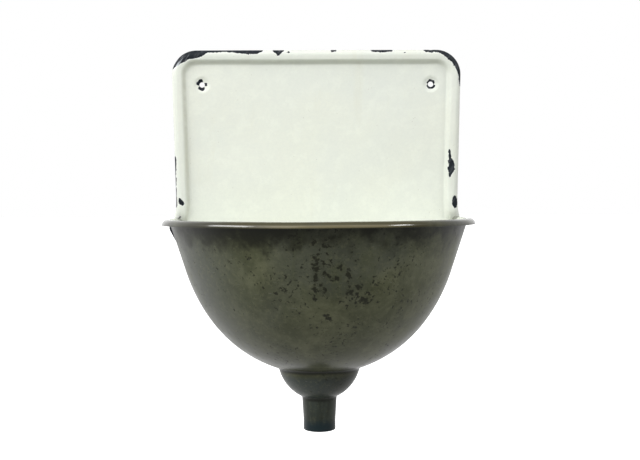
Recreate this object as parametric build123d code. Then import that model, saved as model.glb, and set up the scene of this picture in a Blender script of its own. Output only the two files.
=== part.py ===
from build123d import *

import math
import os

# Wall-hung enamelled steel basin of an old drinking fountain.
# Millimetres. +Z is up, -Y is the front. The origin is the midpoint of the two
# screw holes, on the wall plane.

os.makedirs("parts", exist_ok=True)

# Driving dimensions
SHEET = 1.6                 # enamelled sheet steel
HOLE_SPACING = 278.0        # between the two screw holes
HOLE_R = 3.25               # screw hole
HOLE_BELOW_TOP = 41.5       # hole centre to the panel's top edge
HOLE_ABOVE_RIM = 160.5      # hole centre to the crest of the bowl's lip

# Splashback panel
PANEL_HALF_TOP = 175.3      # half width below the top corners
PANEL_HALF_RIM = 171.0      # half width where the panel meets the lip
CORNER_R = 30.0             # top corners
FIELD_Y = 5.0               # front face of the flat field, from the wall
CREST_Y = 11.0              # top of the raised border, from the wall
BORDER_W = 11.5             # outer edge to the inner wall of the border
BORDER_OUTER_R = 6.0        # outer rounding of the border
BORDER_INNER_R = 2.6        # rounding of the border's inner wall
DIMPLE_TOP_R = 10.0         # pressed seat round each screw hole
DIMPLE_FLOOR_R = 6.8
DIMPLE_BACK_GROW = 1.4      # extra radius on the back of a seat
PANEL_RUN_ON = 60.0         # the border outline goes this far below the lip before it is cut off

# Ears and tongue: the panel goes on below the lip as the bowl's back wall
EAR_TOP = (PANEL_HALF_RIM + 0.4, 10.0)
EAR_LIP = (174.5, -1.0)
EAR_TIP = (181.0, -12.5)
EAR_FOOT = (150.0, -72.0)
TONGUE_SIDE = (110.0, -136.5)
TONGUE_KNEE = (64.0, -168.0)
TONGUE_DROP = 180.5

# Bowl: heights are measured down from the crest of the lip
BOWL_STRAIGHT = 90.0        # panel face to the centre of the half round
WALL_LEAN = 17.9            # degrees, upper wall
SHOULDER_R = 192.7          # large arc of the wall
SHOULDER_IN = 34.7          # its centre lies this far past the axis
FLOOR_R = 149.1             # arc of the floor
LIP_R = 6.5                 # outer half of the rolled-over lip
LIP_CENTRE = 169.0          # radius of the lip's crest

# Waste outlet under the bowl
OUTLET_FORWARD = 8.0        # outlet axis, ahead of the half round's centre
SEAT_DROP = 175.0           # strainer seat below the crest
SEAT_HOLE_R = 30.0
RECESS_R = 35.4             # round recess in the floor that the strainer sits in
RECESS_WALL = 15.0          # height of the recess wall before the bowl trims it
CUP_R = 46.8
CUP_DROP = 157.5            # centre of the cup below the crest
SPIGOT_ROOT_R = 19.7
SPIGOT_ROOT_DROP = 197.5
SPIGOT_HEAD = 5.0           # the spigot goes on this far up inside the cup
SPIGOT_R = 18.0
SPIGOT_TAPER_DROP = 227.0
SPIGOT_END_DROP = 237.8
SPIGOT_BORE_R = 16.0
SPIGOT_END_ROUND = 0.8

# Bell trap
PIPE_BORE_R = 14.5
PIPE_TOP_DROP = 181.5
PIPE_FOOT_DROP = 216.0
PLATE_R = 34.8
PLATE_HOLES = 18
PLATE_HOLE_R = 2.5
PLATE_HOLE_PCR = 26.2
BELL_R = 22.0
BELL_WALL = 1.5
BELL_FOOT_DROP = 188.5
STUD_R = 2.5
STUD_CLEAR = 0.1
STUD_FOOT_DROP = 180.3
KNOB_R = 7.0
KNOB_RISE = 13.0            # knob centre above the plate
NECK_R = 3.2
COLLAR_R = 5.5
COLLAR_H = 2.0
NUT_FLATS = 8.0
NUT_H = 2.5

# Worked out from the above
RIM_Z = -HOLE_ABOVE_RIM
AXIS_Y = -(FIELD_Y + BOWL_STRAIGHT)
OUTLET_Y = AXIS_Y - OUTLET_FORWARD
LEAN = math.radians(WALL_LEAN)
FLOOR_ANGLE = math.acos(SHOULDER_IN / (SHOULDER_R - FLOOR_R))

# Working lengths that leave no mark on the shape
BIG = 400.0                 # longer than the basin in every direction
CUT_PAST = 5.0              # how far a cutting solid runs past what it cuts


def level(drop):
    """Height of something that lies this far below the crest of the lip."""
    return RIM_Z - drop


def ring_point(radius, angle, centre, side, y):
    """Point on an arc of the bowl's section, angle in radians below level."""
    x = centre[0] + radius * math.cos(angle)
    z = centre[1] - radius * math.sin(angle)
    return (side * x, y, z)


def wall_curve(inset, side, y):
    """Edges of the wall from its upper tangent point down to the axis."""
    shoulder = (-SHOULDER_IN, RIM_Z)
    reach = SHOULDER_R - FLOOR_R
    floor = (0.0, RIM_Z - reach * math.sin(FLOOR_ANGLE))
    r1 = SHOULDER_R - inset
    r2 = FLOOR_R - inset
    mid1 = (LEAN + FLOOR_ANGLE) / 2
    mid2 = (FLOOR_ANGLE + math.pi / 2) / 2
    top = ring_point(r1, LEAN, shoulder, side, y)
    knee = ring_point(r1, FLOOR_ANGLE, shoulder, side, y)
    foot = (0.0, y, floor[1] - r2)
    return [
        ThreePointArc(top, ring_point(r1, mid1, shoulder, side, y), knee),
        ThreePointArc(knee, ring_point(r2, mid2, floor, side, y), foot),
    ], top, foot


def wall_radius(inset, drop):
    """Radius of the straight upper wall at a height."""
    at_crest = (SHOULDER_R - inset) / math.cos(LEAN) - SHOULDER_IN
    return at_crest - drop * math.tan(LEAN)


def filled_section(inset, side, y):
    """Half section of the bowl taken as a full solid."""
    arcs, top, foot = wall_curve(inset, side, y)
    brim = (side * wall_radius(inset, 0.0), y, RIM_Z)
    mid = (0.0, y, RIM_Z)
    edges = arcs + [Line(foot, mid), Line(mid, brim), Line(brim, top)]
    return Face(Wire(edges))


def crest_radius():
    """Inner half of the lip: the radius that runs smoothly from the wall to the crest."""
    reach = LIP_CENTRE - wall_radius(SHEET, 0.0)
    return reach / (math.cos(LEAN) - math.tan(LEAN) * (1 - math.sin(LEAN)))


def sheet_section(side, y):
    """Half section of the pressed sheet with its rolled-over lip."""
    outer, outer_top, outer_foot = wall_curve(0.0, side, y)
    inner, inner_top, inner_foot = wall_curve(SHEET, side, y)

    def at(radius, drop):
        return (side * radius, y, level(drop))

    def turn_at(inset, angle):
        """Point on the lip's inner half, angle in radians above level."""
        radius = crest_radius() - inset
        return at(LIP_CENTRE - radius * math.cos(angle), crest_radius() - radius * math.sin(angle))

    under = LIP_R - SHEET
    slant = math.sqrt(0.5)
    halfway = (LEAN + math.pi / 2) / 2
    root = at(LIP_CENTRE, SHEET)
    crest = at(LIP_CENTRE, 0.0)
    edges = outer + inner + [
        Line(outer_top, turn_at(SHEET, LEAN)),
        ThreePointArc(turn_at(SHEET, LEAN), turn_at(SHEET, halfway), root),
        ThreePointArc(
            root,
            at(LIP_CENTRE + under * slant, LIP_R - under * slant),
            at(LIP_CENTRE + under, LIP_R),
        ),
        Line(at(LIP_CENTRE + under, LIP_R), at(LIP_CENTRE + LIP_R, LIP_R)),
        ThreePointArc(
            at(LIP_CENTRE + LIP_R, LIP_R),
            at(LIP_CENTRE + LIP_R * slant, LIP_R - LIP_R * slant),
            crest,
        ),
        ThreePointArc(crest, turn_at(0.0, halfway), turn_at(0.0, LEAN)),
        Line(turn_at(0.0, LEAN), inner_top),
        Line(inner_foot, outer_foot),
    ]
    return Face(Wire(edges))


def round_and_straight(section):
    """Turn a half section round the front and run it back to the panel."""
    axis = Axis((0, AXIS_Y, 0), (0, 0, 1))
    body = revolve(section(-1, AXIS_Y), axis=axis, revolution_arc=180)
    for side in (-1, 1):
        body += extrude(section(side, AXIS_Y), amount=BOWL_STRAIGHT, dir=(0, 1, 0))
    return body


def disc(radius, drop_top, drop_foot):
    """Upright cylinder on the outlet axis between two drops."""
    height = drop_foot - drop_top
    centre = Pos(0, OUTLET_Y, level((drop_top + drop_foot) / 2))
    return centre * Cylinder(radius, height)


def turned(points):
    """Solid of revolution on the outlet axis from (radius, drop) points."""
    corners = [(r, OUTLET_Y, level(d)) for r, d in points]
    face = Face(Wire(Polyline(*corners, close=True).edges()))
    return revolve(face, axis=Axis((0, OUTLET_Y, 0), (0, 0, 1)))


def panel_outline(inset):
    """Border outline, run on below the lip, where it is cut off later."""
    slope = (PANEL_HALF_TOP - PANEL_HALF_RIM) / (HOLE_ABOVE_RIM + HOLE_BELOW_TOP)
    half_low = PANEL_HALF_RIM - slope * PANEL_RUN_ON
    low = RIM_Z - PANEL_RUN_ON
    corners = [
        (-half_low, low),
        (half_low, low),
        (PANEL_HALF_TOP, HOLE_BELOW_TOP),
        (-PANEL_HALF_TOP, HOLE_BELOW_TOP),
    ]
    outline = make_face(Polyline(*corners, close=True))
    outline = fillet(outline.vertices().sort_by(Axis.Y)[-2:], CORNER_R)
    if inset > 0:
        outline = offset(outline, amount=-inset)
    return Plane.XZ * outline


def rounded_prism(outline, start, end, radius):
    """Prism from one distance off the wall to another, its far edge rounded."""
    prism = Pos(0, -start, 0) * extrude(outline, amount=abs(end - start), dir=(0, -1, 0))
    rim = prism.faces().sort_by(Axis.Y)[0].edges()
    return fillet(rim, radius)


def panel_form(inset):
    """Solid under the panel's front surface, drawn in by the sheet."""
    block = rounded_prism(panel_outline(inset), 0, CREST_Y - inset, BORDER_OUTER_R - inset)
    hollow = panel_outline(BORDER_W - inset)
    floor_y = FIELD_Y - inset
    depth = CREST_Y + CUT_PAST - floor_y
    prism = Pos(0, -floor_y, 0) * extrude(hollow, amount=depth, dir=(0, -1, 0))
    back_edges = prism.faces().sort_by(Axis.Y)[-1].edges()
    return block - fillet(back_edges, BORDER_INNER_R + inset)


def above_rim(body):
    """Keep what is above the crest of the lip."""
    keep = Pos(0, 0, RIM_Z + BIG / 2) * Box(BIG * 2, BIG, BIG)
    return body & keep


def tongue():
    """Flat lower part of the panel that closes the back of the bowl."""
    y = -(FIELD_Y - SHEET)

    def at(point, side):
        return (side * point[0], y, RIM_Z + point[1])

    foot = (0.0, y, RIM_Z - TONGUE_DROP)
    lean = (EAR_FOOT[0] - EAR_TIP[0], EAR_FOOT[1] - EAR_TIP[1])
    edges = [Line(at(EAR_TOP, -1), at(EAR_TOP, 1))]
    for side in (1, -1):
        edges += [
            Line(at(EAR_TOP, side), at(EAR_LIP, side)),
            Line(at(EAR_LIP, side), at(EAR_TIP, side)),
            Line(at(EAR_TIP, side), at(EAR_FOOT, side)),
            Spline(
                at(EAR_FOOT, side),
                at(TONGUE_SIDE, side),
                at(TONGUE_KNEE, side),
                foot,
                tangents=((side * lean[0], 0, lean[1]), (-side, 0, 0)),
            ),
        ]
    return extrude(Face(Wire(edges)), amount=SHEET, dir=(0, -1, 0))


def cone_off_wall(x, near, far, near_r, far_r):
    """Round taper between two distances off the wall at a screw hole."""
    profile = [(0, near), (near_r, near), (far_r, far), (0, far)]
    corners = [(x + r, -d, 0) for r, d in profile]
    face = Face(Wire(Polyline(*corners, close=True).edges()))
    return revolve(face, axis=Axis((x, 0, 0), (0, 1, 0)))


def make_back_panel():
    void = panel_form(SHEET)
    shell = above_rim(panel_form(0.0) - void)
    for side in (-1, 1):
        cap = Pos(side * PANEL_HALF_RIM, 0, RIM_Z + SHEET / 2) * Box(2 * BORDER_W, BIG, SHEET)
        shell += panel_form(0.0) & cap
        x = side * HOLE_SPACING / 2
        back_r = DIMPLE_FLOOR_R + DIMPLE_BACK_GROW
        top_r = DIMPLE_TOP_R + DIMPLE_BACK_GROW
        shell += cone_off_wall(x, 0, FIELD_Y - SHEET / 2, back_r, top_r)
        shell -= cone_off_wall(x, SHEET, FIELD_Y, DIMPLE_FLOOR_R, DIMPLE_TOP_R)
        shell -= cone_off_wall(x, -CUT_PAST, FIELD_Y, HOLE_R, HOLE_R)
    return shell + tongue()


def make_bowl():
    body = round_and_straight(sheet_section)
    inside = round_and_straight(lambda side, y: filled_section(SHEET, side, y))
    recess_top = SEAT_DROP - RECESS_WALL
    body += disc(RECESS_R + SHEET, recess_top, SEAT_DROP + SHEET) - inside
    body -= disc(RECESS_R, recess_top - CUT_PAST, SEAT_DROP)
    return body - disc(SEAT_HOLE_R, SEAT_DROP - CUT_PAST, SEAT_DROP + SHEET + CUT_PAST)


def spigot_block():
    """Outside of the spigot as a full solid, run on up inside the cup."""
    slope = (SPIGOT_ROOT_R - SPIGOT_R) / (SPIGOT_TAPER_DROP - SPIGOT_ROOT_DROP)
    head = SPIGOT_ROOT_DROP - SPIGOT_HEAD
    return turned([
        (0, head),
        (SPIGOT_ROOT_R + SPIGOT_HEAD * slope, head),
        (SPIGOT_R, SPIGOT_TAPER_DROP),
        (SPIGOT_R, SPIGOT_END_DROP - SPIGOT_END_ROUND),
        (SPIGOT_R - SPIGOT_END_ROUND, SPIGOT_END_DROP),
        (0, SPIGOT_END_DROP),
    ])


def make_sump_cup():
    centre = Pos(0, OUTLET_Y, level(CUP_DROP))
    shell = centre * Sphere(CUP_R) - centre * Sphere(CUP_R - SHEET)
    shell -= round_and_straight(lambda side, y: filled_section(0.0, side, y))
    return shell - spigot_block()


def make_drain_spigot():
    bore_top = SPIGOT_ROOT_DROP - SPIGOT_HEAD - CUT_PAST
    body = spigot_block() - disc(SPIGOT_BORE_R, bore_top, SPIGOT_END_DROP + CUT_PAST)
    return body - Pos(0, OUTLET_Y, level(CUP_DROP)) * Sphere(CUP_R - SHEET)


def make_standpipe():
    pipe = disc(SPIGOT_BORE_R, PIPE_TOP_DROP, PIPE_FOOT_DROP)
    return pipe - disc(PIPE_BORE_R, PIPE_TOP_DROP - CUT_PAST, PIPE_FOOT_DROP + CUT_PAST)


def make_strainer_plate():
    top = SEAT_DROP - SHEET
    plate = disc(PLATE_R, top, SEAT_DROP)
    plate -= disc(STUD_R + STUD_CLEAR, top - CUT_PAST, SEAT_DROP + CUT_PAST)
    centre = Pos(0, OUTLET_Y, level(SEAT_DROP))
    for spot in PolarLocations(PLATE_HOLE_PCR, PLATE_HOLES):
        plate -= centre * spot * Cylinder(PLATE_HOLE_R, 2 * CUT_PAST)
    return plate


def make_trap_bell():
    bell = disc(BELL_R, SEAT_DROP, BELL_FOOT_DROP)
    bell -= disc(BELL_R - BELL_WALL, SEAT_DROP + BELL_WALL, BELL_FOOT_DROP + CUT_PAST)
    return bell - disc(STUD_R + STUD_CLEAR, SEAT_DROP - CUT_PAST, SEAT_DROP + CUT_PAST)


def make_pull_stud():
    plate_top = SEAT_DROP - SHEET
    stud = disc(STUD_R, plate_top, STUD_FOOT_DROP)
    stud += disc(COLLAR_R, plate_top - COLLAR_H, plate_top)
    stud += disc(NECK_R, plate_top - KNOB_RISE, plate_top - COLLAR_H)
    return stud + Pos(0, OUTLET_Y, level(plate_top - KNOB_RISE)) * Sphere(KNOB_R)


def make_stud_nut():
    top = SEAT_DROP + BELL_WALL
    hexagon = RegularPolygon(NUT_FLATS / 2, 6, major_radius=False)
    nut = Pos(0, OUTLET_Y, level(top + NUT_H)) * extrude(hexagon, amount=NUT_H)
    return nut - disc(STUD_R, top - CUT_PAST, top + NUT_H + CUT_PAST)


PARTS = {
    "back_panel": make_back_panel,
    "bowl": make_bowl,
    "sump_cup": make_sump_cup,
    "drain_spigot": make_drain_spigot,
    "standpipe": make_standpipe,
    "strainer_plate": make_strainer_plate,
    "trap_bell": make_trap_bell,
    "pull_stud": make_pull_stud,
    "stud_nut": make_stud_nut,
}

for name, make in PARTS.items():
    export_step(make(), f"parts/{name}.step")
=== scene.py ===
"""Looks of an old enamelled wall basin with a bell-trap strainer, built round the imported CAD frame."""

import math

import bmesh
import bpy
import numpy as np
from mathutils import Euler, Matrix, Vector


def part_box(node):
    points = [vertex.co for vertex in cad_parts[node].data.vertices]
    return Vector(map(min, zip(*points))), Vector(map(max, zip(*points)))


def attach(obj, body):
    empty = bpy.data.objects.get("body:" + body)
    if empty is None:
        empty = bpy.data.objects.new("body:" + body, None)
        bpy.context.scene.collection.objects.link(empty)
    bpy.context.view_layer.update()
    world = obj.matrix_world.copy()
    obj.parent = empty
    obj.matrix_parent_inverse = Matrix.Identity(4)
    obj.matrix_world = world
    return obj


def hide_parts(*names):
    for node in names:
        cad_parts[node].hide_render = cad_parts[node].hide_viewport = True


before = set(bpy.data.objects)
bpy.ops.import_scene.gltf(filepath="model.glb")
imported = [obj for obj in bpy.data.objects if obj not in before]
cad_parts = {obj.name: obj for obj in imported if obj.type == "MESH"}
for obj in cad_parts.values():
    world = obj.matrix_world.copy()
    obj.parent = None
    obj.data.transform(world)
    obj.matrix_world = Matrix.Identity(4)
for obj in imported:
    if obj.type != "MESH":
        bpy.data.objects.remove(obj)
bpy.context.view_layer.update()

# ---- sizes, worked out from the frame
# The modelling below is in millimetres in the row frame; build() turns it into metres.
MM = 0.001


def box_mm(node):
    """Lowest and highest corner of a CAD node, in millimetres."""
    low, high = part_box(node)
    return np.array(low) / MM, np.array(high) / MM


BOWL_LOW, BOWL_HIGH = box_mm("bowl")
PANEL_LOW, PANEL_HIGH = box_mm("back_panel")
SPIGOT_LOW = box_mm("drain_spigot")[0]
PIPE_LOW, PIPE_HIGH = box_mm("standpipe")
PLATE_LOW, PLATE_HIGH = box_mm("strainer_plate")
BELL_LOW, BELL_HIGH = box_mm("trap_bell")
STUD_LOW, STUD_HIGH = box_mm("pull_stud")
NUT_LOW, NUT_HIGH = box_mm("stud_nut")

SHEET = 1.6
RIM_Z = BOWL_HIGH[2]  # crest of the lip
LIP_OUT = BOWL_HIGH[0]  # outer radius of the lip
FIELD_Y = BOWL_HIGH[1]  # front face of the panel's flat field
AXIS_Y = BOWL_LOW[1] + LIP_OUT  # centre of the bowl's half round
OUTLET_Y = (PLATE_LOW[1] + PLATE_HIGH[1]) / 2
PANEL_TOP = PANEL_HIGH[2] - RIM_Z  # above the crest
BEAD_RISE = -PANEL_LOW[1] + FIELD_Y  # border above the field

# Bowl section: drops are measured down from the crest of the lip
LEAN = math.radians(17.9)
SHOULDER_R = 192.7
SHOULDER_IN = 34.7
FLOOR_R = 149.1
LIP_R = 6.5
LIP_CENTRE = LIP_OUT - LIP_R
FLOOR_ANGLE = math.acos(SHOULDER_IN / (SHOULDER_R - FLOOR_R))
FLOOR_CENTRE = (SHOULDER_R - FLOOR_R) * math.sin(FLOOR_ANGLE)
SEAT_DROP = RIM_Z - PLATE_LOW[2]
SEAT_HOLE_R = 30.0
RECESS_R = 35.4

# Trap and spigot
CUP_R = 46.8
CUP_DROP = 157.5
SPIGOT_R = 18.0
SPIGOT_ROOT_R = 19.7
SPIGOT_ROOT_DROP = 197.5
SPIGOT_TAPER_DROP = 227.0
SPIGOT_END_DROP = RIM_Z - SPIGOT_LOW[2]
BORE_R = PIPE_HIGH[0]

# Panel
HOLE_R = 3.25
HOLE_X = 139.0
HOLE_RISE = -RIM_Z  # the holes are at the row's origin height
PANEL_HALF_TOP = 175.3
CORNER_R = 30.0


def build(name, points, faces):
    """Mesh object from millimetre points and index faces."""
    mesh = bpy.data.meshes.new(name)
    verts = np.asarray(points, float) * MM
    mesh.from_pydata(verts.tolist(), [], [tuple(int(i) for i in f) for f in faces])
    mesh.update()
    mesh.polygons.foreach_set("use_smooth", [True] * len(mesh.polygons))
    piece = bpy.data.objects.new(name, mesh)
    bpy.context.scene.collection.objects.link(piece)
    return piece


def smoothstep(low, high, value):
    """0 below low, 1 above high, with a smooth rise between."""
    t = np.clip((np.asarray(value, float) - low) / (high - low), 0.0, 1.0)
    return t * t * (3.0 - 2.0 * t)


def grid_faces(rows, cols, close=False, flip=False):
    """Quads of a rows by cols grid of points stored row after row."""
    faces = []
    last = cols if close else cols - 1
    for i in range(rows - 1):
        for j in range(last):
            a = i * cols + j
            b = i * cols + (j + 1) % cols
            quad = (a, b, b + cols, a + cols)
            faces.append(quad[::-1] if flip else quad)
    return faces


def arc(cx, cy, radius, start, stop, steps):
    """Points on an arc, angles in degrees."""
    angles = np.radians(np.linspace(start, stop, steps))
    return [(cx + radius * math.cos(a), cy + radius * math.sin(a)) for a in angles]


def bezier(p0, p1, p2, p3, steps):
    """Points on a cubic curve."""
    t = np.linspace(0, 1, steps)[:, None]
    p0, p1, p2, p3 = (np.array(p, float) for p in (p0, p1, p2, p3))
    curve = (1 - t) ** 3 * p0 + 3 * (1 - t) ** 2 * t * p1 + 3 * (1 - t) * t ** 2 * p2 + t ** 3 * p3
    return [tuple(p) for p in curve]


def resample(points, count):
    """Same path with evenly spaced points."""
    points = np.asarray(points, float)
    seg = np.linalg.norm(np.diff(points, axis=0), axis=1)
    run = np.concatenate([[0], np.cumsum(seg)])
    at = np.linspace(0, run[-1], count)
    return np.stack([np.interp(at, run, points[:, k]) for k in range(points.shape[1])], 1)


def about_outlet(radius, angle):
    """Place in plan at a radius and an angle round the outlet's axis."""
    return radius * math.cos(angle), OUTLET_Y + radius * math.sin(angle)


def ring_faces(first, second):
    """Faces between two closed rings of point indices, triangles where a ring is a single point."""
    faces = []
    for k in range(len(first)):
        n = (k + 1) % len(first)
        faces.append(tuple(dict.fromkeys((first[k], first[n], second[n], second[k]))))
    return faces


def ring_patch(total, edge_index, rings):
    """Faces that close a patch ring by ring inside an edge, the rings' points stored from total."""
    faces = []
    previous = edge_index
    for ring in rings:
        current = list(range(total, total + len(ring)))
        total += len(ring)
        faces += ring_faces(previous, current)
        previous = current
    return faces


# ---- splashback panel
TOP_STEPS = 110  # outline steps, top centre to the middle of a corner
SIDE_STEPS = 130  # middle of a corner to the ear tip
BEAD_OUTER = 6.5  # outer edge to the crest of the raised border
BEAD_CREST = 10.8  # outer edge to where the border starts to fall
BEAD_FOOT = 18.0  # outer edge to where the border meets the field
BEAD_CROWN = 0.35  # how much higher the crest is at its outer side
BAND_W = 19.4  # width of the modelled border band
EAR_BAND_W = 4.0
DIMPLE_R = 11.0
DIMPLE_FLOOR_R = 4.6
DIMPLE_DEPTH = 1.5
DIMPLE_LIP = 0.35  # extra dip at the very edge of a screw hole
DIMPLE_LIP_W = 1.2
HOLE_BLOCK = 13.0  # half size of the grid patch round a hole
HOLE_RINGS = (11.6, 10.9, 10.3, 9.7, 9.1, 8.5, 7.9, 7.3, 6.7, 6.1, 5.4, 4.7, 4.2, 3.8, 3.5, 3.32, HOLE_R)
EDGE_STEP = 0.5  # the returned edge turns over this far below the field
EAR_ROUND = 0.6  # how far the cut edge of the ears is rounded back
EAR_ROUND_SHARE = 0.35  # share of the ear's band that the rounding takes
BEAD_FADE = (-9.0, 9.0)  # rise between which the raised border runs out
BAND_FADE = (-12.0, 3.0)  # rise between which its band narrows to the ear's
FOOT_OUTER = (12.0, 14.6)  # insets between which the painted shade and grime at the foot starts
FOOT_INNER = (17.6, 15.4)  # insets between which it ends
FOOT_ALL, FOOT_SIDE, FOOT_TOP = 0.06, 0.38, 0.14  # how strong the painted shade and grime are: all round, left side, top
WAVES = ((0.031, 0.012, 0.3), (-0.017, 0.043, 1.9), (0.052, -0.036, 4.1), (0.011, 0.067, 2.6))
WAVE_HEIGHT = 0.11
WAVES_BELOW = (3.0, 0.05)  # the waves start where the sheet is this near the field's height
WAVES_ABOVE = (0.0, 40.0)  # rise between which they grow, to leave the bowl's joint plain
# Cubic curves of (x, rise) down the edge, from the straight side to the middle of the tongue's foot
EAR_NECK = ((171.6, 26.0), (171.2, 12.0), (172.0, 3.0), (176.0, -4.5))
EAR_TIP = ((176.0, -4.5), (178.6, -9.0), (180.4, -10.6), (180.4, -13.2))
EAR_UNDER = ((180.4, -13.2), (180.4, -15.5), (178.5, -17.8), (171.0, -32.2))
TONGUE = ((150.0, -72.0), (117.0, -137.5), (62.0, -180.5), (0.0, -180.5))


def panel_half_outline():
    """Right half of the panel's edge as three runs of (x, rise) points, top centre to tongue foot."""
    cx = PANEL_HALF_TOP - CORNER_R
    cz = PANEL_TOP - CORNER_R
    top = [(0.0, PANEL_TOP)] + arc(cx, cz, CORNER_R, 90, 45, 16)
    side = arc(cx, cz, CORNER_R, 45, 0, 16)
    side += bezier(*EAR_NECK, 20)
    side += bezier(*EAR_TIP, 10)[1:]
    tongue = bezier(*EAR_UNDER, 12) + bezier(*TONGUE, 60)
    return resample(top, TOP_STEPS + 1), resample(side, SIDE_STEPS + 1), resample(tongue, TOP_STEPS + 1)


def panel_loop():
    """Closed outline, clockwise from the middle of the upper left corner."""
    top, side, tongue = panel_half_outline()
    mirror = np.array([-1.0, 1.0])
    return np.concatenate([
        (top * mirror)[::-1][:-1],
        top[:-1],
        side[:-1],
        tongue[:-1],
        (tongue * mirror)[::-1][:-1],
        (side * mirror)[::-1][:-1],
    ])


def inward_normals(loop):
    """Unit normals towards the inside of a clockwise loop."""
    tangent = np.roll(loop, -1, axis=0) - np.roll(loop, 1, axis=0)
    for _ in range(3):
        tangent = (np.roll(tangent, 1, axis=0) + 2 * tangent + np.roll(tangent, -1, axis=0)) / 4
    tangent /= np.linalg.norm(tangent, axis=1)[:, None]
    return np.stack([tangent[:, 1], -tangent[:, 0]], 1)


def bead_section():
    """(inset, distance off the wall) across the returned edge and the raised border."""
    field = -FIELD_Y
    points = [(0.0, h) for h in np.linspace(0.0, field - EDGE_STEP, 5)]
    for a in np.radians(np.linspace(90, 0, 13))[1:]:
        inset = BEAD_OUTER * (1 - math.sin(a))
        points.append((inset, field - EDGE_STEP + (BEAD_RISE + EDGE_STEP) * math.cos(a)))
    for t in np.linspace(0, 1, 6)[1:]:
        points.append((BEAD_OUTER + (BEAD_CREST - BEAD_OUTER) * t, field + BEAD_RISE - BEAD_CROWN * t * t))
    for t in np.linspace(0, 1, 19)[1:]:
        inset = BEAD_CREST + (BEAD_FOOT - BEAD_CREST) * t
        points.append((inset, field + (BEAD_RISE - BEAD_CROWN) * (0.5 + 0.5 * math.cos(math.pi * t))))
    points.append((BAND_W, field))
    return np.array(points)


def ear_section(count):
    """The same number of points across the plain cut edge of the ears and tongue."""
    t = np.linspace(0, 1, count)
    inset = EAR_BAND_W * t ** 1.5
    height = -FIELD_Y - EAR_ROUND * (1 - np.clip(t / EAR_ROUND_SHARE, 0, 1)) ** 2
    return np.stack([inset, height], 1)


def undulation(x, z):
    """Slow waviness of pressed sheet, in millimetres."""
    total = np.zeros_like(x)
    for kx, kz, phase in WAVES:
        total += np.sin(kx * x + kz * z + phase)
    return WAVE_HEIGHT * total


def dimple(radius):
    """How far the sheet is pressed back at a distance from a screw hole."""
    lip = DIMPLE_LIP * smoothstep(HOLE_R + DIMPLE_LIP_W, HOLE_R, radius)
    return DIMPLE_DEPTH * (1 - smoothstep(DIMPLE_FLOOR_R, DIMPLE_R, radius)) + lip


# Places where the enamel is gone: strokes of (x, rise above the lip, radius)
CHIPS = (
    ((-173.5, 181.5, 2.6), (-168.0, 189.0, 5.8), (-161.0, 195.5, 7.2), (-153.0, 199.2, 8.4),
     (-146.0, 200.2, 8.6), (-141.0, 200.8, 7.6), (-134.0, 202.0, 4.6)),
    ((-136.0, 202.0, 3.6), (-120.0, 202.0, 3.3), (-108.0, 202.0, 2.9), (-97.0, 201.8, 3.8),
     (-84.0, 201.4, 4.9), (-72.0, 201.0, 4.6), (-66.0, 201.6, 2.0)),
    ((-52.0, 201.2, 1.8), (-46.5, 198.6, 3.4), (-46.0, 197.4, 2.8), (-41.0, 201.4, 1.8)),
    ((-34.0, 198.6, 1.2), (-33.5, 198.6, 1.2)),
    ((18.4, 200.9, 1.3), (22.6, 200.9, 1.3)),
    ((106.0, 198.4, 1.1), (108.0, 198.0, 1.0)),
    ((67.5, 201.6, 1.9), (79.0, 201.4, 3.3), (90.6, 201.6, 1.9)),
    ((132.0, 201.2, 1.9), (138.0, 199.6, 1.5), (150.0, 200.8, 2.9), (158.0, 198.2, 5.0),
     (165.5, 192.4, 5.6), (171.2, 184.6, 5.0), (174.6, 173.0, 3.4), (175.6, 158.0, 1.8)),
    ((-172.9, 72.0, 2.4), (-172.3, 50.0, 1.5), (-172.0, 30.0, 1.5), (-171.9, 14.0, 2.2)),
    ((-166.6, 22.4, 1.6), (-164.8, 19.2, 2.6), (-163.2, 15.8, 2.3)),
    ((161.2, 80.0, 0.9), (161.4, 70.0, 1.6), (163.4, 63.4, 3.6), (163.2, 57.5, 4.0), (161.2, 49.0, 1.4)),
    ((167.5, 24.0, 1.3), (167.5, 20.0, 3.3), (167.4, 15.0, 3.7), (167.3, 10.4, 1.4)),
    ((-169.0, 0.9, 0.9), (-166.0, 0.3, 1.0)),
    ((-180.5, -12.5, 5.2), (-176.5, -22.0, 5.2), (-171.0, -34.0, 4.0)),
)
# Bare crescents round the screw holes: (first angle, last angle, width), degrees from +X
HOLE_WEAR = {
    -1: ((74, 192, 4.2), (206, 318, 3.9), (336, 392, 3.4)),
    1: ((2, 178, 2.9), (182, 358, 3.2)),
}


FAR = 1e3  # stands for no chip near, in millimetres
NO_CHIP = 50.0  # any distance past this shows no chip
HOLE_WEAR_IN = 0.3  # the bare ring starts this far inside a hole's edge


def stroke_distance(x, z, stroke):
    """Signed distance to a tapered stroke, negative inside."""
    best = np.full_like(x, FAR)
    for (x0, z0, r0), (x1, z1, r1) in zip(stroke[:-1], stroke[1:]):
        dx, dz = x1 - x0, z1 - z0
        t = np.clip(((x - x0) * dx + (z - z0) * dz) / (dx * dx + dz * dz), 0, 1)
        gap = np.hypot(x - x0 - t * dx, z - z0 - t * dz) - (r0 + t * (r1 - r0))
        best = np.minimum(best, gap)
    return best


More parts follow.
